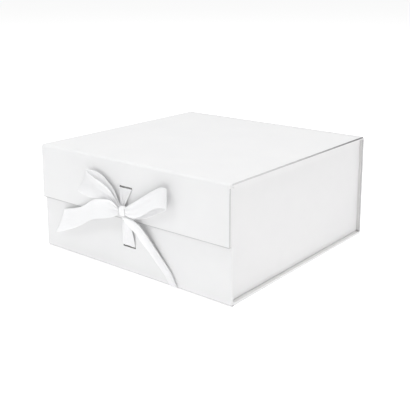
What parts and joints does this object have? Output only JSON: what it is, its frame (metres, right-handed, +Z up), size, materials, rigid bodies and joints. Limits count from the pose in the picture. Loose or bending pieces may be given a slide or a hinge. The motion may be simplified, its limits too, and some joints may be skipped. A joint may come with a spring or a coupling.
{
  "type": "magnetic gift box",
  "caption": "Square flat gift box with a hinged lid, a magnetic front flap and a tied ribbon bow.",
  "frame": {"origin": "centre of the base's underside", "axes": "+Z up, out of the lid; the front with the flap and the bow faces -Y; +X to the right seen from the front"},
  "size_m": [0.22, 0.2321, 0.1],
  "materials": {
    "wrap_paper": "white coated paper, satin, faint even grain",
    "liner_paper": "white uncoated lining paper, matt",
    "greyboard": "grey recycled board, matt, with cut edges",
    "magnet": "nickel-plated disc",
    "tape": "double-sided tape, cream, slightly glossy",
    "ribbon": "white satin ribbon, soft sheen across the weave"
  },
  "bodies": {
    "tray": {"base_board": "greyboard", "base_liner": "liner_paper", "base_wrap": "wrap_paper", "front_fold_paper": "wrap_paper", "front_wall_board": "greyboard", "front_wall_liner": "liner_paper", "front_wall_magnet_left": "magnet", "front_wall_magnet_right": "magnet", "front_wall_wrap": "wrap_paper", "left_front_ear": "wrap_paper", "left_front_tape": "tape", "left_rear_ear": "wrap_paper", "left_rear_tape": "tape", "left_side_board": "greyboard", "left_side_hinge_paper": "liner_paper", "left_side_liner": "liner_paper", "left_side_wrap": "wrap_paper", "lid_hinge_paper": "wrap_paper", "rear_fold_paper": "wrap_paper", "ribbon_lower_strand": "ribbon", "right_front_ear": "wrap_paper", "right_front_tape": "tape", "right_rear_ear": "wrap_paper", "right_rear_tape": "tape", "right_side_board": "greyboard", "right_side_hinge_paper": "liner_paper", "right_side_liner": "liner_paper", "right_side_wrap": "wrap_paper", "spine_board": "greyboard", "spine_liner": "liner_paper", "spine_wrap": "wrap_paper"},
    "lid": {"flap_hinge_paper": "wrap_paper", "lid_board": "greyboard", "lid_liner": "liner_paper", "lid_wrap": "wrap_paper"},
    "flap": {"bow_knot": "ribbon", "bow_left_loop": "ribbon", "bow_left_tail": "ribbon", "bow_right_loop": "ribbon", "bow_right_tail": "ribbon", "flap_board": "greyboard", "flap_liner": "liner_paper", "flap_magnet_left": "magnet", "flap_magnet_right": "magnet", "flap_wrap": "wrap_paper", "ribbon_lower_neck": "ribbon", "ribbon_upper_strand": "ribbon"}
  },
  "joints": [
    {"name": "lid_hinge", "type": "hinge", "parent": "tray", "child": "lid", "pos_m": [0, 0.10921, 0.09921], "axis": [-1, 0, 0], "range_deg": [0, 200]},
    {"name": "flap_hinge", "type": "hinge", "parent": "lid", "child": "flap", "pos_m": [0, -0.10921, 0.09921], "axis": [-1, 0, 0], "range_deg": [0, 90]}
  ]
}
